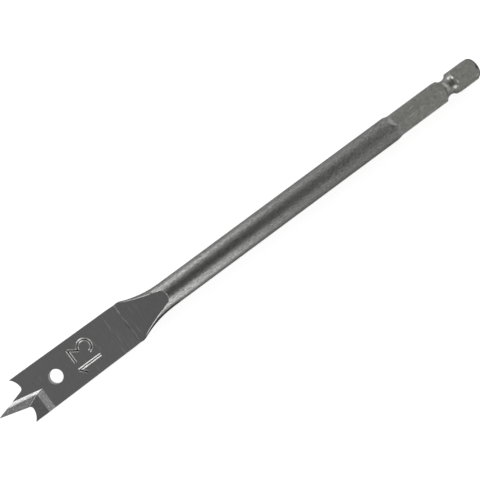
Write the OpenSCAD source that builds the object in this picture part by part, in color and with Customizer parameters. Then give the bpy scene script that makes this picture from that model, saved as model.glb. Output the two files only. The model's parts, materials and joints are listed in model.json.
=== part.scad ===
// Spade drill bit: a flat blade with a centre point and two cutting edges, a round shaft and a hex shank.
// It is one piece of steel, forged flat at one end, turned, and ground at the point.
// The bit is drawn with its tip at x = 0, its axis along X and its blade in the XY plane.
// It is then laid down as it comes to rest, on its shaft and on one long edge of its blade.

/* [Overall] */
// Length from the tip of the point to the end of the shank
overall_l = 158; // [145:1:250]

/* [Blade] */
// Width across the outer ends of the cutting edges, which is the size of hole that it bores
blade_w = 13; // [11:0.5:20]
// Width at the shoulder, a little less so that the sides run clear in the hole
shoulder_w = 12.3; // [10:0.1:18]
// Thickness between the two flat faces
blade_t = 2.5; // [2:0.1:3.2]
// Distance from the tip to the corner of the shoulder
blade_l = 42; // [32:0.5:55]
// Diameter of the hole through the blade
hole_d = 4; // [2:0.1:5.5]
// Distance from the tip to the middle of the hole
hole_x = 18; // [17:0.5:26]

/* [Point and cutting edges] */
// Angle between the two sides of the point
point_angle = 33; // [24:1:40]
// Distance from the tip to the bottom of the valley beside the point
point_l = 8.45; // [7:0.05:10]
// Thickness left at the tip
tip_t = 1; // [0.6:0.1:1.4]
// Height that a cutting edge rises from the valley to its outer end
spur_h = 1.35; // [0.5:0.05:2]
// Radius at the bottom of the valley
valley_r = 0.9; // [0.4:0.1:1.2]
// Angle at which the ground front falls away behind the cutting edges
relief_angle = 18; // [8:1:25]

/* [Rake grind] */
// Depth of the hollow behind a cutting edge
rake_depth = 0.7; // [0.3:0.05:0.9]
// Distance from the valley to the foot of the hollow's back wall
rake_l = 2.85; // [1.5:0.05:4]
// Slope of the hollow's floor, down from the cutting edge
rake_angle = 7; // [0:1:10]
// Slope of the hollow's back wall
rake_wall_angle = 18; // [14:1:40]
// Distance from the axis to the inner end of the back wall
rake_inner_y = 0.4; // [0:0.1:1.5]
// Slope of the wall ground across the point
point_wall_angle = 40; // [25:1:60]
// Angle in plan between that wall and the axis
point_wall_turn = 12.5; // [5:0.5:18]
// Slope of the point's floor, down from its cutting side to the wall
point_rake_angle = 14; // [4:1:18]
// Rise of the point's floor from the tip towards the blade
point_pitch = 3.5; // [1:0.5:6]

/* [Neck] */
// Radius of the hollow curve, seen in plan, that runs from the shoulder to the shaft
neck_r = 28; // [15:1:60]
// Radius that eases the corner of the shoulder
shoulder_r = 3; // [1:0.5:4]
// Distance from the crease across the blade to the corner of the shoulder
crease_back = 1.4; // [0.5:0.1:4]
// Height of the short step at the crease
crease_rise = 0.25; // [0.1:0.05:0.5]
// Slope of that step
crease_angle = 30; // [20:1:50]
// Length of the sloping flat that runs from the crease up on to the shaft
ramp_l = 12.6; // [8:0.2:25]
// Depth of the flat's blunt end below the top of the shaft
ramp_end_depth = 0.4; // [0.2:0.05:0.6]
// Slope of the blunt end
ramp_end_angle = 55; // [35:1:80]
// Radius that rounds the blunt end
ramp_end_r = 3.3; // [3.3:0.1:4.5]

/* [Shaft and shank] */
// Diameter of the round shaft
shaft_d = 7.4; // [6.8:0.05:9]
// Width of the hex shank across its flats
hex_af = 6.35; // [5.5:0.05:6.7]
// Length of the hex shank
hex_l = 27.5; // [22:0.5:45]
// Turn of a hex corner away from square to the blade
hex_turn = 5.5; // [0:0.5:60]
// Slope at which the flats run out on to the shaft
hex_runout_angle = 20; // [10:1:45]
// Distance between the first start of a flat and the last, because each pair is ground alone
hex_stagger = 0.6; // [0.3:0.1:1]
// Distance from the end of the shank to the middle of the holding groove
groove_back = 9.5; // [6:0.1:14]
// Diameter at the bottom of the holding groove
groove_d = 4.7; // [4:0.1:5.5]
// Radius of the holding groove's section
groove_r = 2.8; // [1.5:0.1:4]
// Length of the chamfer at the end of the shank
chamfer_l = 1.3; // [0.4:0.1:2.5]
// Angle between that chamfer and the axis
chamfer_angle = 30; // [20:1:45]

/* [Rest] */
// Turn that keeps the blade's long edge just off the surface, with the bit's weight on its shaft
edge_clear = 1.5; // [0:0.1:5]

/* [Hidden] */
$fn = 96;

shaft_r = shaft_d / 2;
face_z = blade_t / 2;
half_angle = point_angle / 2;

// Cutters reach past the steel by a margin, and wide ones span the widest blade
margin = 2;
span = 4 * blade_w;

// Angle at which an arc crosses the line or arc that it runs into, so that the two meet in one clear edge
cross_angle = 2;
// Turn of the blank's seam about the axis
seam_turn = 25;

// Plan of the point: the middle of the valley's round, and the arc of the cutting edge that runs on from it
valley_x = point_l - valley_r;
valley_y = -(valley_x * tan(half_angle) + valley_r * cos(cross_angle) / cos(half_angle));
edge_run = blade_w / 2 + valley_y;
edge_r = (edge_run * edge_run + spur_h * spur_h) / (2 * spur_h);
edge_x = point_l - edge_r - valley_r * (1 - cos(cross_angle));
spur_x = point_l - spur_h;

// Plan of the shoulder, as [radius, x]: the blade's tapered side, the eased corner and the hollow neck
corner = [shoulder_w / 2, blade_l];
neck_drop = neck_r + shaft_r - corner[0];
neck_x = blade_l + sqrt(neck_r * neck_r - neck_drop * neck_drop);
neck_mid = [shaft_r + neck_r * cos(cross_angle), neck_x];
side_angle = atan((blade_w - shoulder_w) / 2 / (blade_l - spur_x));
side_dir = [-sin(side_angle), cos(side_angle)];
side_inward = [-cos(side_angle), -sin(side_angle)];
corner_offset = corner + shoulder_r * side_inward - neck_mid;
corner_along = corner_offset * side_dir;
corner_reach = neck_r + shoulder_r;
corner_root = corner_along * corner_along - corner_offset * corner_offset + corner_reach * corner_reach;
ease_start = corner + (-corner_along - sqrt(corner_root)) * side_dir;
ease_mid = ease_start + shoulder_r * side_inward;
ease_end = ease_mid + (neck_mid - ease_mid) * shoulder_r / corner_reach;

// Side view of the neck, from the crease up the step and the ramp to the blunt end
crease_x = blade_l - crease_back;
step_x = crease_x + crease_rise / tan(crease_angle);
step_z = face_z + crease_rise;
ramp_x = step_x + ramp_l;
ramp_z = shaft_r - ramp_end_depth;
ramp_slope = (ramp_z - step_z) / ramp_l;
ramp_round_x = ramp_x - ramp_end_r / sin(ramp_end_angle);

// Rake grind, on the face that leads as the bit turns
rake_foot_x = point_l + rake_l;
rake_top_x = rake_foot_x + rake_depth / tan(rake_wall_angle);

// Hex shank
hex_x = overall_l - hex_l;
groove_x = overall_l - groove_back;
end_r = shaft_r - chamfer_l * tan(chamfer_angle);

// Roll of the bit at rest, from the one at which an edge of the blade, at a spur or at the shoulder, would touch
function edge_roll(radius, height) = asin(shaft_r / radius) - asin(height / radius);
shoulder_z = step_z + (blade_l - step_x) * ramp_slope;
stop_roll = min(edge_roll(blade_w / 2, face_z), edge_roll(shoulder_w / 2, shoulder_z));
rest_roll = stop_roll - edge_clear;

// Half of the turned outline, as [radius, x]
module outline() {
    difference() {
        polygon([
            [0, -margin],
            [blade_w / 2, -margin],
            [blade_w / 2, spur_x],
            corner,
            [shaft_r, neck_x],
            [shaft_r, overall_l - chamfer_l],
            [end_r, overall_l],
            [0, overall_l]
        ]);
        translate(neck_mid) circle(neck_r);
        translate([groove_d / 2 + groove_r, groove_x]) circle(groove_r);
        difference() {
            polygon([ease_start, corner + [margin, 0], ease_end]);
            translate(ease_mid) circle(shoulder_r / cos(cross_angle));
        }
    }
}

// Turned blank along X, with its seam away from the middle planes
module blank() {
    rotate([seam_turn, 0, 0]) rotate([0, 90, 0]) rotate_extrude() outline();
}

// Cut drawn in side view, as [x, z], and taken right across the bit
module side_cut(points) {
    rotate([90, 0, 0]) linear_extrude(height = span, center = true) polygon(points);
}

// Everything above the step and the ramp, which runs on past the blunt end
module above_ramp() {
    side_cut([
        [-2 * margin, face_z],
        [crease_x, face_z],
        [step_x, step_z],
        [step_x + span, step_z + ramp_slope * span],
        [step_x + span, step_z + 2 * span],
        [-2 * margin, step_z + 2 * span]
    ]);
}

// Everything above one face of the blade, with the step and ramp of the neck and the rounded blunt end
module face_cut() {
    intersection() {
        above_ramp();
        translate([ramp_round_x, 0, ramp_z]) rotate([0, 90 - ramp_end_angle, 0]) {
            cylinder(h = span, r = ramp_end_r, center = true);
            translate([-2 * span, -span, -span]) cube(2 * span);
        }
    }
}

// One flat of the hex, run out on to the shaft from its start
module hex_flat(start_x) {
    side_cut([
        [start_x, hex_af / 2],
        [overall_l + margin, hex_af / 2],
        [overall_l + margin, hex_af / 2 + span],
        [start_x - span / tan(hex_runout_angle), hex_af / 2 + span]
    ]);
}

// Plan of what is cut away in front of one cutting edge and beside the point
module front_plan() {
    front = edge_r + margin;
    side_gap = valley_r * cos(cross_angle);
    side_touch = [valley_x + side_gap * sin(half_angle), valley_y + side_gap * cos(half_angle)];
    polygon([
        [-front, front * tan(half_angle)],
        side_touch,
        [valley_x, valley_y],
        [edge_x, valley_y - edge_r / 2],
        [-front, valley_y - edge_r / 2]
    ]);
    translate([valley_x, valley_y]) circle(valley_r);
    intersection() {
        translate([edge_x, valley_y]) circle(edge_r);
        translate([-front, valley_y - edge_r]) square([2 * front + edge_r, edge_r]);
    }
    translate([-front, valley_y - edge_r]) square([front + edge_x, edge_r]);
}

// Ground front of one half, leaning back from its leading face
module front_cut() {
    rotate([0, -relief_angle, 0])
        linear_extrude(height = span, center = true) front_plan();
}

// Everything above a plane through a point, turned from level
module above_plane(point, turn) {
    translate(point) rotate(turn) translate([-span, -span, 0]) cube(2 * span);
}

// Hollow ground behind one cutting edge and along one side of the point
module rake_cut() {
    intersection() {
        union() {
            above_plane([rake_foot_x, 0, face_z - rake_depth], [0, rake_angle, 0]);
            above_plane([0, 0, tip_t / 2], [-point_rake_angle, -point_pitch, -half_angle]);
        }
        above_plane([rake_foot_x, 0, face_z - rake_depth], [0, -rake_wall_angle, 0]);
        above_plane([rake_top_x, -rake_inner_y, face_z], [point_wall_angle, 0, -point_wall_turn]);
    }
}

// The whole bit, with both faces and both cutting edges alike under half a turn
module forged_and_ground() {
    difference() {
        blank();
        for (half_turn = [0, 180]) {
            rotate([half_turn, 0, 0]) {
                face_cut();
                front_cut();
                rake_cut();
            }
        }
        for (side = [0:5]) {
            rotate([hex_turn + 30 + 60 * side, 0, 0]) hex_flat(hex_x - hex_stagger * (side % 3) / 2);
        }
        translate([hole_x, 0, 0]) cylinder(h = span, d = hole_d, center = true);
    }
}

// The bit laid at rest, with its origin under its middle
module spade_bit() {
    color([0.42, 0.42, 0.41])
        translate([-overall_l / 2, 0, shaft_r]) rotate([rest_roll, 0, 0]) forged_and_ground();
}

spade_bit();
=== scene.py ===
import json
import math

import bmesh
import bpy
from mathutils import Matrix, Vector


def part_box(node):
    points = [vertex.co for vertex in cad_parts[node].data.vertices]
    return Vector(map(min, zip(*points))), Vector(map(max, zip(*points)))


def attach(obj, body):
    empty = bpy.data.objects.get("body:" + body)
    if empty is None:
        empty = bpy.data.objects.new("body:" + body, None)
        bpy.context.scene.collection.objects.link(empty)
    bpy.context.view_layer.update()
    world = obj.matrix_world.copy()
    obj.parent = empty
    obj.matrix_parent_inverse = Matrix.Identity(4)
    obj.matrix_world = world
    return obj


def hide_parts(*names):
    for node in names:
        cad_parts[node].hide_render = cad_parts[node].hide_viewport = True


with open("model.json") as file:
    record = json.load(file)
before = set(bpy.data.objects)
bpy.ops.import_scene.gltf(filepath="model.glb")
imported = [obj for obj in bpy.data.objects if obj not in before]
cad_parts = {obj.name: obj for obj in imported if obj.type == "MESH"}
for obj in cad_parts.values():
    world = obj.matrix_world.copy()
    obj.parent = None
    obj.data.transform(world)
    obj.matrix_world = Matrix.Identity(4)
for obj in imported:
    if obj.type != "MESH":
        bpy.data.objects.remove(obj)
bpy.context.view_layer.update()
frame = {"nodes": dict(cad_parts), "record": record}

# Steel bar
# The whole bit is one bar of tool steel, forged flat at one end, turned, and milled to a hex at the other.
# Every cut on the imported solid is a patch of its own. The first row that a patch starts after and ends
# before, in mm from the point, tells its finish.
(
    BLADE, CUTTING, NECK, SHAFT, HEX, HOLE, EDGE, PAINTED_SHADE,
    TURNED, TONGUE, THIN_PAINTED_SHADE, RIM, RUN_OUT, CORNER, FOLD,
) = range(15)
CUT_FINISHES = (
    (HEX, 157.5, 160),
    # The end chamfer takes the thin dark finish, a painted shade.
    (THIN_PAINTED_SHADE, 156, 160),
    (TURNED, 145, 152),
    (RUN_OUT, 128, 131),
    (HEX, 128, 160),
    (SHAFT, 54, 160),
    (RIM, 52, 160),
    (NECK, 41.2, 160),
    (TONGUE, 40.9, 160),
    (HOLE, 15.5, 20.5),
    (CUTTING, -1, 15),
    # The step at the crease takes the thin dark finish, painted shade in the crease.
    (THIN_PAINTED_SHADE, 40, 41.5),
    (BLADE, -1, 160),
)
SAME_POINT = 0.0005
STILL_FLAT = math.radians(0.05)
STAYS_SHARP = math.radians(6)

hole_mount = next(m for m in frame["record"]["mounts"] if m["name"] == "blade_hole")
bar_low, bar_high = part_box("spade_bit")
bar_length = (bar_high.x - bar_low.x) * 1000
along = Vector((1, 0, 0))
upright = Vector(hole_mount["axis"]).normalized()
across = upright.cross(along)
tip = Vector((bar_low.x, 0, hole_mount["pos_m"][2]))
to_bit = Matrix.Scale(1000, 4) @ Matrix((along, across, upright)).to_4x4() @ Matrix.Translation(-tip)

bar = bmesh.new()
bar.from_mesh(frame["nodes"]["spade_bit"].data)
bar.transform(to_bit)
cut_number = bar.faces.layers.int.new("cut")
cuts = 0
for face in bar.faces:
    if face[cut_number]:
        continue
    cuts += 1
    face[cut_number] = cuts
    patch, waiting = [], [face]
    while waiting:
        one = waiting.pop()
        patch.append(one)
        for edge in one.edges:
            for other in edge.link_faces:
                if not other[cut_number]:
                    other[cut_number] = cuts
                    waiting.append(other)
    starts = min(corner.co.x for one in patch for corner in one.verts)
    ends = max(corner.co.x for one in patch for corner in one.verts)
    finish = next(kind for kind, after, before in CUT_FINISHES if starts > after and ends < before)
    for one in patch:
        one.material_index = finish
        one.smooth = True

bmesh.ops.remove_doubles(bar, verts=bar.verts, dist=SAME_POINT)
for edge in bar.edges:
    edge.seam = len({face[cut_number] for face in edge.link_faces}) > 1
bmesh.ops.dissolve_limit(bar, angle_limit=STILL_FLAT, verts=bar.verts, edges=bar.edges, delimit={"SEAM"})
for edge in bar.edges:
    edge.smooth = not (edge.seam and edge.calc_face_angle(0) > STAYS_SHARP)

# Eased edges
# Tumbling takes the bite off every edge behind the cutting end, and handling brightens most of them; the rim
# of the hole takes a dark finish as painted shade. Where the two grinds of a cutting lip meet, the wheel
# leaves a burr, its strips painted bright on one side as a painted highlight and dark on the other as painted
# shade. A row gives the finishes that meet, the stretch of the bit in mm, the least and most angle in
# degrees, the width of the ease in mm, and its own finish.
BURR = 0.1
STRAIGHT = 0.99
EASED = (
    ({TONGUE, NECK}, 42.6, 52.5, 35, 180, 0.15, RIM),
    ({BLADE}, 15, 40.4, 35, 180, 0.08, EDGE),
    # The rim of the hole is eased with the dark finish, a painted shade.
    ({BLADE, HOLE}, 15, 21, 35, 180, 0.05, PAINTED_SHADE),
    ({HEX}, 130, 147, 35, 180, 0.12, CORNER),
    ({HEX}, 150, bar_length - 1, 35, 180, 0.12, RUN_OUT),
    ({CUTTING}, 7, 11.27, 12, 20, 0.14, PAINTED_SHADE),
    ({BLADE, THIN_PAINTED_SHADE}, 40.5, 40.7, 20, 40, 0.09, FOLD),
)
for kinds, begin, end, least, most, ease, finish in EASED:
    sharp = []
    for edge in bar.edges:
        one, other = (corner.co for corner in edge.verts)
        straight = abs(one.x - other.x) > STRAIGHT * (one - other).length
        if (
            edge.seam
            and {face.material_index for face in edge.link_faces} == kinds
            and math.radians(least) < edge.calc_face_angle(0) < math.radians(most)
            and begin < min(one.x, other.x)
            and max(one.x, other.x) < end
            and (straight or HEX not in kinds)
        ):
            sharp.append(edge)
    eased = bmesh.ops.bevel(
        bar, geom=sharp, offset=ease, offset_type="OFFSET",
        affect="EDGES", segments=2, profile=0.5, material=-1,
    )
    for face in eased["faces"]:
        face.material_index = finish
        for edge in face.edges:
            edge.smooth = True
    # The burr's strips facing one way get the bright edge finish, a painted highlight; the rest keep the dark
    # finish, a painted shade.
    if kinds == {CUTTING}:
        strips = set(eased["faces"])
        crest = {edge for face in strips for edge in face.edges if set(edge.link_faces) <= strips}
        for corner in {corner for edge in crest for corner in edge.verts}:
            corner.co.z += math.copysign(BURR, corner.co.z)
        for face in strips:
            face.normal_update()
            if face.normal.y * face.calc_center_median().z < 0:
                face.material_index = EDGE
            for edge in face.edges:
                edge.smooth = False

bar_mesh = bpy.data.meshes.new("bar")
bar.to_mesh(bar_mesh)
bar.free()
bar_mesh.attributes.remove(bar_mesh.attributes["custom_normal"])

# Surface of the steel
# One bar, one metal: what differs is the last tool that touched it, save two dark finishes of painted shade.
# Every finish has that tool's lines, the blotches of scale and oil left under them, and nicks from the box
# that the bits are tumbled and sold in.
marks = bpy.data.node_groups.new("steel_marks", "ShaderNodeTree")
for name, kind in (
    ("Place", "NodeSocketVector"),
    ("Lines per mm", "NodeSocketVector"),
    ("Blotches per mm", "NodeSocketFloat"),
    ("Nicks per line", "NodeSocketFloat"),
):
    marks.interface.new_socket(name, in_out="INPUT", socket_type=kind)
for name in ("Lines", "Blotches", "Nicks"):
    marks.interface.new_socket(name, in_out="OUTPUT", socket_type="NodeSocketFloat")
given = marks.nodes.new("NodeGroupInput")
put_out = marks.nodes.new("NodeGroupOutput")
drawn = marks.nodes.new("ShaderNodeVectorMath")
drawn.operation = "MULTIPLY"
marks.links.new(given.outputs["Place"], drawn.inputs[0])
marks.links.new(given.outputs["Lines per mm"], drawn.inputs[1])
scratch = marks.nodes.new("ShaderNodeTexNoise")
scratch.inputs["Scale"].default_value = 1
scratch.inputs["Detail"].default_value = 4
scratch.inputs["Roughness"].default_value = 0.6
marks.links.new(drawn.outputs[0], scratch.inputs["Vector"])
marks.links.new(scratch.outputs["Fac"], put_out.inputs["Lines"])
stain = marks.nodes.new("ShaderNodeTexNoise")
stain.inputs["Detail"].default_value = 5
stain.inputs["Roughness"].default_value = 0.65
marks.links.new(given.outputs["Place"], stain.inputs["Vector"])
marks.links.new(given.outputs["Blotches per mm"], stain.inputs["Scale"])
marks.links.new(stain.outputs["Fac"], put_out.inputs["Blotches"])
dent = marks.nodes.new("ShaderNodeTexNoise")
dent.inputs["Detail"].default_value = 2
marks.links.new(drawn.outputs[0], dent.inputs["Vector"])
marks.links.new(given.outputs["Nicks per line"], dent.inputs["Scale"])
chosen = marks.nodes.new("ShaderNodeMapRange")
chosen.interpolation_type = "SMOOTHSTEP"
chosen.inputs["From Min"].default_value = 0.66
chosen.inputs["From Max"].default_value = 0.74
marks.links.new(dent.outputs["Fac"], chosen.inputs["Value"])
marks.links.new(chosen.outputs["Result"], put_out.inputs["Nicks"])

lie = math.atan2(-upright.y, upright.z)
BARE_METAL = 1.5


def steel(name, dark, light, smooth, rough, lines, blotches, nicks, depth, line_share, nicked):
    material = bpy.data.materials.new(name)
    material.use_nodes = True
    nodes, links = material.node_tree.nodes, material.node_tree.links
    shader = nodes["Principled BSDF"]
    shader.inputs["Metallic"].default_value = 1
    where = nodes.new("ShaderNodeTexCoord")
    turned = nodes.new("ShaderNodeMapping")
    turned.inputs["Location"].default_value = to_bit.translation
    turned.inputs["Rotation"].default_value = (-lie, 0, 0)
    turned.inputs["Scale"].default_value = (1000, 1000, 1000)
    links.new(where.outputs["Object"], turned.inputs["Vector"])
    worked = nodes.new("ShaderNodeGroup")
    worked.node_tree = marks
    worked.inputs["Lines per mm"].default_value = lines
    worked.inputs["Blotches per mm"].default_value = blotches
    worked.inputs["Nicks per line"].default_value = nicks
    links.new(turned.outputs["Vector"], worked.inputs["Place"])
    both = nodes.new("ShaderNodeMix")
    both.inputs["Factor"].default_value = line_share
    links.new(worked.outputs["Blotches"], both.inputs["A"])
    links.new(worked.outputs["Lines"], both.inputs["B"])
    spread = nodes.new("ShaderNodeMapRange")
    spread.inputs["From Min"].default_value = 0.38
    spread.inputs["From Max"].default_value = 0.62
    links.new(both.outputs["Result"], spread.inputs["Value"])
    tone = nodes.new("ShaderNodeMix")
    tone.data_type = "RGBA"
    tone.inputs["A"].default_value = (*dark, 1)
    tone.inputs["B"].default_value = (*light, 1)
    links.new(spread.outputs["Result"], tone.inputs["Factor"])
    hit = nodes.new("ShaderNodeMath")
    hit.operation = "MULTIPLY"
    hit.inputs[1].default_value = nicked
    links.new(worked.outputs["Nicks"], hit.inputs[0])
    bare = nodes.new("ShaderNodeMix")
    bare.data_type = "RGBA"
    bare.inputs["B"].default_value = (*(min(1, BARE_METAL * c) for c in light), 1)
    links.new(hit.outputs[0], bare.inputs["Factor"])
    links.new(tone.outputs["Result"], bare.inputs["A"])
    links.new(bare.outputs["Result"], shader.inputs["Base Color"])
    polish = nodes.new("ShaderNodeMapRange")
    polish.inputs["From Min"].default_value = 0.3
    polish.inputs["From Max"].default_value = 0.7
    polish.inputs["To Min"].default_value = rough
    polish.inputs["To Max"].default_value = smooth
    links.new(both.outputs["Result"], polish.inputs["Value"])
    links.new(polish.outputs["Result"], shader.inputs["Roughness"])
    relief = nodes.new("ShaderNodeBump")
    relief.inputs["Distance"].default_value = depth / 1000
    links.new(both.outputs["Result"], relief.inputs["Height"])
    links.new(relief.outputs["Normal"], shader.inputs["Normal"])
    return material


# A row gives the darkest and lightest tone, the smoothest and roughest spot, lines along, across and up per
# mm, blotches per mm, nicks per line, depth of the marks in mm, share of the lines in them, and bare nicks.
for finish in (
    steel(
        "dark_ground_blade", (0.415, 0.415, 0.415), (0.485, 0.485, 0.485), 0.46, 0.56,
        (4, 0.25, 4), 0.5, 0.7, 0.003, 0.6, 0.9,
    ),
    steel(
        "bright_ground_cutting_end", (0.6, 0.6, 0.6), (1, 1, 1), 0.2, 0.36,
        (0.8, 6, 6), 2.2, 0.6, 0.05, 0.7, 0.3,
    ),
    steel(
        "forged_neck", (0.3, 0.3, 0.295), (0.74, 0.74, 0.73), 0.22, 0.38,
        (1.0, 4, 4), 2.4, 0.6, 0.05, 0.5, 0.4,
    ),
    steel(
        "satin_shaft", (0.27, 0.27, 0.263), (0.73, 0.73, 0.712), 0.22, 0.38,
        (1.0, 4, 4), 2.6, 0.6, 0.06, 0.5, 0.4,
    ),
    steel(
        "milled_hex", (0.44, 0.44, 0.405), (0.66, 0.66, 0.625), 0.34, 0.46,
        (0.8, 3, 3), 0.9, 0.5, 0.015, 0.35, 0.6,
    ),
    steel(
        "drilled_hole", (0.3, 0.3, 0.3), (0.55, 0.55, 0.55), 0.3, 0.45,
        (2, 2, 5), 1.5, 1.5, 0.02, 0.5, 0,
    ),
    # The worn edge finish is real wear, and on one side of the burr it is a painted highlight.
    steel(
        "worn_edge_and_painted_highlight", (0.5, 0.5, 0.49), (0.95, 0.95, 0.94), 0.22, 0.36,
        (1, 3, 3), 1.6, 1.1, 0.03, 0.4, 0.6,
    ),
    # The dark finish is painted shade: it darkens the hole's rim, one side of the burr and the struck
    # figures' grooves.
    steel(
        "painted_shade_dark", (0.08, 0.08, 0.08), (0.16, 0.16, 0.16), 0.5, 0.6,
        (2, 1, 2), 1.0, 1.0, 0.006, 0.5, 0,
    ),
    steel(
        "turned_groove", (0.34, 0.34, 0.32), (0.85, 0.85, 0.81), 0.12, 0.3,
        (6, 0.6, 0.6), 1.8, 1.3, 0.02, 0.7, 0,
    ),
    steel(
        "dark_ground_tongue", (0.365, 0.365, 0.365), (0.425, 0.425, 0.425), 0.46, 0.56,
        (4, 0.25, 4), 0.5, 0.7, 0.003, 0.6, 0.9,
    ),
    # The thin dark finish is painted shade on the end chamfer and on the step at the crease.
    steel(
        "painted_shade_thin", (0.14, 0.14, 0.14), (0.3, 0.3, 0.3), 0.4, 0.5,
        (2, 1, 2), 0.4, 1.0, 0.006, 0.3, 0,
    ),
    steel(
        "rubbed_rim", (0.7, 0.7, 0.69), (1, 1, 0.99), 0.2, 0.32,
        (1, 3, 3), 1.2, 1.1, 0.02, 0.4, 0,
    ),
    steel(
        "run_out", (0.48, 0.48, 0.475), (0.72, 0.72, 0.72), 0.3, 0.42,
        (1, 3, 3), 1.2, 0.6, 0.015, 0.4, 0.4,
    ),
    steel(
        "worn_corner", (0.42, 0.42, 0.39), (1, 1, 0.95), 0.3, 0.42,
        (1, 3, 3), 0.9, 0.6, 0.015, 0.1, 0.4,
    ),
    steel(
        "folded_edge", (0.12, 0.12, 0.12), (0.85, 0.85, 0.84), 0.3, 0.42,
        (1, 3, 3), 0.13, 0.6, 0.005, 0, 0,
    ),
):
    bar_mesh.materials.append(finish)
blank = bpy.data.objects.new("bar", bar_mesh)
bpy.context.scene.collection.objects.link(blank)

# Stamped size
# The bore in millimetres is struck into one face with single-line punches, figures upright towards the point.
# Each stroke is a groove with the metal that it pushed up standing along both sides.
FACE_HEIGHT = 1.25
GROOVE = (
    (-0.27, 0.2), (0.27, 0.2), (0.27, 0.07), (0.14, -0.02),
    (0.1, -0.2), (-0.1, -0.2), (-0.14, -0.02), (-0.27, 0.07),
)
LIPS = ((-0.56, -0.05), (-0.3, 0.08), (0.3, 0.08), (0.56, -0.05))
STROKES = (
    ((23.9, -2.3), (30.5, -2.3)),
    ((23.9, -2.3), (25.3, -3.95)),
    ((24.25, -0.05), (24.25, 3.6)),
    ((24.25, 3.6), (26.6, 1.95)),
)
PAST_STROKE = 0.12
BOWL_MIDDLE = Vector((28.4, 1.95, FACE_HEIGHT))
BOWL_RADIUS = 1.85
BOWL_SWEEP = math.radians(-258)
BOWL_STEPS = 40
STAMP_BEGIN, STAMP_END, STAMP_SIDE = 22, 32, 5.5
BELOW_FACE = 0.015
STROKE_EDGE = math.radians(14)


def punch(name, section, finish):
    tool = bmesh.new()
    for start, end in STROKES:
        run = Vector((end[0] - start[0], end[1] - start[1], 0))
        side = run.normalized().cross(Vector((0, 0, 1)))
        foot = Vector((start[0], start[1], FACE_HEIGHT)) - run.normalized() * PAST_STROKE
        ring = [tool.verts.new(foot + side * w + Vector((0, 0, h))) for w, h in section]
        rim = [tool.edges.new((ring[i - 1], ring[i])) for i in range(len(ring))]
        pulled = bmesh.ops.extrude_edge_only(tool, edges=rim)
        moved = [item for item in pulled["geom"] if isinstance(item, bmesh.types.BMVert)]
        bmesh.ops.translate(tool, verts=moved, vec=run + run.normalized() * (2 * PAST_STROKE))
    ring = [tool.verts.new(BOWL_MIDDLE + Vector((-BOWL_RADIUS - w, 0, h))) for w, h in section]
    rim = [tool.edges.new((ring[i - 1], ring[i])) for i in range(len(ring))]
    bmesh.ops.spin(
        tool, geom=ring + rim, cent=BOWL_MIDDLE, axis=(0, 0, 1),
        angle=BOWL_SWEEP, steps=BOWL_STEPS, use_merge=False,
    )
    bmesh.ops.holes_fill(tool, edges=tool.edges, sides=0)
    bmesh.ops.recalc_face_normals(tool, faces=tool.faces)
    for face in tool.faces:
        face.material_index = finish
    mesh = bpy.data.meshes.new(name)
    tool.to_mesh(mesh)
    tool.free()
    for material in bar_mesh.materials:
        mesh.materials.append(material)
    made = bpy.data.objects.new(name, mesh)
    bpy.context.scene.collection.objects.link(made)
    return made


punches = [punch("raised_lips", LIPS, EDGE), punch("struck_groove", GROOVE, EDGE)]
for made, operation in zip(punches, ("UNION", "DIFFERENCE")):
    strike = blank.modifiers.new(operation, "BOOLEAN")
    strike.operation = operation
    strike.object = made
    strike.solver = "EXACT"
    strike.use_self = True
struck = bpy.data.meshes.new_from_object(blank.evaluated_get(bpy.context.evaluated_depsgraph_get()))
struck.name = "spade_bit_steel"
for made in punches + [blank]:
    bpy.data.objects.remove(made)
figures = bmesh.new()
figures.from_mesh(struck)
# Edge-finished faces here that lie below the stamped face, as inside the struck grooves, get the dark finish:
# painted shade.
for face in figures.faces:
    if face.material_index == EDGE and STAMP_BEGIN < face.calc_center_median().x < STAMP_END:
        if max(corner.co.z for corner in face.verts) < FACE_HEIGHT - BELOW_FACE:
            face.material_index = PAINTED_SHADE
for edge in figures.edges:
    if edge.calc_face_angle(0) > STROKE_EDGE and all(
        STAMP_BEGIN < corner.co.x < STAMP_END and abs(corner.co.y) < STAMP_SIDE and corner.co.z > 0
        for corner in edge.verts
    ):
        edge.smooth = False
figures.to_mesh(struck)
figures.free()
struck.transform(to_bit.inverted())
bit = bpy.data.objects.new("spade_bit_steel", struck)
bpy.context.scene.collection.objects.link(bit)
flatten = bit.modifiers.new("flat faces", "WEIGHTED_NORMAL")
flatten.keep_sharp = True
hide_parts("spade_bit")
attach(bit, "root")

# Floor and light
# A pale paper sheet on a table, in a room that is pale to the eye. In reflections the sheet glows under the
# point and along the lower side of the bit, painted light thrown up, and near the neck it is painted dark, a
# painted shadow. Two long soft lamps stand along the sides of the blade, one stands beyond the point, and a
# small one rakes the figures.
FLOOR_HALF = 4
FLOOR_DROP = 0.00002
floor_mesh = bpy.data.meshes.new("floor")
table = bmesh.new()
bmesh.ops.create_grid(table, x_segments=1, y_segments=1, size=FLOOR_HALF)
bmesh.ops.translate(table, verts=table.verts, vec=(0, 0, -FLOOR_DROP))
table.to_mesh(floor_mesh)
table.free()
floor = bpy.data.objects.new("floor", floor_mesh)
bpy.context.scene.collection.objects.link(floor)
pale = bpy.data.materials.new("pale_table")
pale.use_nodes = True
nodes, links = pale.node_tree.nodes, pale.node_tree.links


def graded(value, begin, end, low, high, interpolation):
    change = nodes.new("ShaderNodeMapRange")
    change.interpolation_type = interpolation
    change.inputs["From Min"].default_value = begin
    change.inputs["From Max"].default_value = end
    change.inputs["To Min"].default_value = low
    change.inputs["To Max"].default_value = high
    links.new(value, change.inputs["Value"])
    return change.outputs["Result"]


def reckoned(operation, *values):
    sum_up = nodes.new("ShaderNodeMath")
    sum_up.operation = operation
    for socket, value in zip(sum_up.inputs, values):
        if isinstance(value, bpy.types.NodeSocket):
            links.new(value, socket)
        else:
            socket.default_value = value
    return sum_up.outputs[0]


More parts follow.
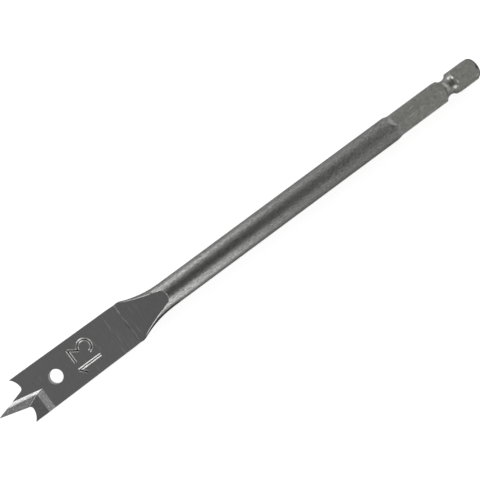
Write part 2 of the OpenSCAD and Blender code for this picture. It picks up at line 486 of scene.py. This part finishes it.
where = nodes.new("ShaderNodeTexCoord")
apart = nodes.new("ShaderNodeSeparateXYZ")
links.new(where.outputs["Object"], apart.inputs["Vector"])
ray = nodes.new("ShaderNodeLightPath")
# Seen in reflections, the sheet glows under the point and along the lower side of the bit: painted light
# thrown up.
spill = graded(apart.outputs["X"], -0.05, 0.03, 1, 0.02, "SMOOTHSTEP")
lower_side = graded(apart.outputs["Y"], -0.006, -0.018, 0, 1, "SMOOTHSTEP")
near_point = graded(apart.outputs["X"], -0.045, -0.055, 0, 0.3, "LINEAR")
thrown_up = reckoned("MULTIPLY", spill, reckoned("MAXIMUM", lower_side, near_point))
glow = nodes.new("ShaderNodeMix")
glow.inputs["B"].default_value = 0.8
links.new(ray.outputs["Is Camera Ray"], glow.inputs["Factor"])
links.new(thrown_up, glow.inputs["A"])
# For rays other than the eye's, the sheet's colour is painted dark near the neck close beside the bit: a
# painted shadow.
clear_of_shadow_across = graded(reckoned("ABSOLUTE", apart.outputs["Y"]), 0.006, 0.018, 0, 1, "SMOOTHSTEP")
clear_of_shadow_along = graded(reckoned("COMPARE", apart.outputs["X"], -0.033, 0.009), 0, 1, 1, 0, "LINEAR")
unshadowed_paper = reckoned("MAXIMUM", ray.outputs["Is Camera Ray"], reckoned("MAXIMUM", clear_of_shadow_along, clear_of_shadow_across))
paper = nodes.new("ShaderNodeMix")
paper.data_type = "RGBA"
paper.inputs["A"].default_value = (0.2, 0.2, 0.2, 1)
paper.inputs["B"].default_value = (0.9, 0.9, 0.9, 1)
links.new(unshadowed_paper, paper.inputs["Factor"])
shader = nodes["Principled BSDF"]
shader.inputs["Roughness"].default_value = 0.9
shader.inputs["Emission Color"].default_value = (1, 1, 1, 1)
links.new(glow.outputs["Result"], shader.inputs["Emission Strength"])
links.new(paper.outputs["Result"], shader.inputs["Base Color"])
floor_mesh.materials.append(pale)

ACROSS_STEPS = (
    (-1, 0.3), (-0.78, 0.27), (-0.42, 0.18), (-0.2, 0.05),
    (0.4, 0.07), (0.67, 0.25), (0.87, 0.33), (1, 0.42),
)
ALONG_STEPS = (
    (-1, 0.4), (-0.82, 0.2), (-0.45, 0.085), (-0.26, 0.16),
    (-0.05, 0.05), (0.05, 0.05), (0.22, 0.115), (0.75, 0.46),
)
room = bpy.data.worlds.new("room")
room.use_nodes = True
nodes, links = room.node_tree.nodes, room.node_tree.links
look = nodes.new("ShaderNodeTexCoord")
sides = []
for direction, steps in ((across, ACROSS_STEPS), (along, ALONG_STEPS)):
    facing = nodes.new("ShaderNodeVectorMath")
    facing.operation = "DOT_PRODUCT"
    facing.inputs[1].default_value = direction
    links.new(look.outputs["Generated"], facing.inputs[0])
    shade = nodes.new("ShaderNodeValToRGB")
    while len(shade.color_ramp.elements) < len(steps):
        shade.color_ramp.elements.new(0.5)
    for step, (place, strength) in zip(shade.color_ramp.elements, steps):
        step.position = (place + 1) / 2
        step.color = (strength, strength, strength, 1)
    links.new(graded(facing.outputs["Value"], -1, 1, 0, 1, "LINEAR"), shade.inputs["Fac"])
    sides.append(shade.outputs["Color"])
ray = nodes.new("ShaderNodeLightPath")
wall = nodes.new("ShaderNodeMix")
wall.inputs["B"].default_value = 1.05
links.new(ray.outputs["Is Camera Ray"], wall.inputs["Factor"])
links.new(reckoned("MAXIMUM", *sides), wall.inputs["A"])
links.new(wall.outputs["Result"], nodes["Background"].inputs["Strength"])
nodes["Background"].inputs["Color"].default_value = (1, 1, 1, 1)
bpy.context.scene.world = room

for name, lean, pitch, start, reach, length, width, watts in (
    ("lamp_lower_side", -62, 0, -0.24, 0.7, 0.5, 0.6, 0.75),
    ("lamp_upper_side", 80, 0, -0.22, 0.7, 0.5, 0.38, 0.45),
    ("lamp_beyond_point", 0, -80, 0, 0.7, 0.2, 0.5, 0.45),
    ("lamp_by_figures", 56, -16, -0.052, 0.15, 0.08, 0.06, 0.02),
):
    lamp = bpy.data.lights.new(name, "AREA")
    lamp.shape = "RECTANGLE"
    lamp.size = length
    lamp.size_y = width
    lamp.energy = watts
    stand = bpy.data.objects.new(name, lamp)
    stand.visible_camera = False
    away = upright * math.cos(math.radians(lean)) + across * math.sin(math.radians(lean))
    away = away * math.cos(math.radians(pitch)) + along * math.sin(math.radians(pitch))
    side = away.cross(along).normalized()
    facing_bit = Matrix((side.cross(away), side, away)).transposed().to_4x4()
    stand.matrix_world = Matrix.Translation(Vector((start, 0, 0)) + away * reach) @ facing_bit
    bpy.context.scene.collection.objects.link(stand)

# Camera
# It looks almost square on to the blade from over the middle of the bit, leaning a little, with the bit
# rising to the right and reaching both sides of the frame.
TILT = math.radians(4.2)
CLIMB = math.radians(36.51)
AIM_ALONG, STAND_OFF, RAISED = 0.0777, 0.176, 0.00007
axis_seen = along * math.cos(TILT) + upright * math.sin(TILT)
back = upright * math.cos(TILT) - along * math.sin(TILT)
right = axis_seen * math.cos(CLIMB) - across * math.sin(CLIMB)
top = axis_seen * math.sin(CLIMB) + across * math.cos(CLIMB)
lens = bpy.data.cameras.new("camera")
lens.lens = 49.29
lens.sensor_width = 36
lens.clip_start = 0.01
camera = bpy.data.objects.new("camera", lens)
eye = tip + along * AIM_ALONG + back * STAND_OFF + top * RAISED
camera.matrix_world = Matrix.Translation(eye) @ Matrix((right, top, back)).transposed().to_4x4()
bpy.context.scene.collection.objects.link(camera)
bpy.context.scene.camera = camera
bpy.context.scene.view_settings.view_transform = "Standard"
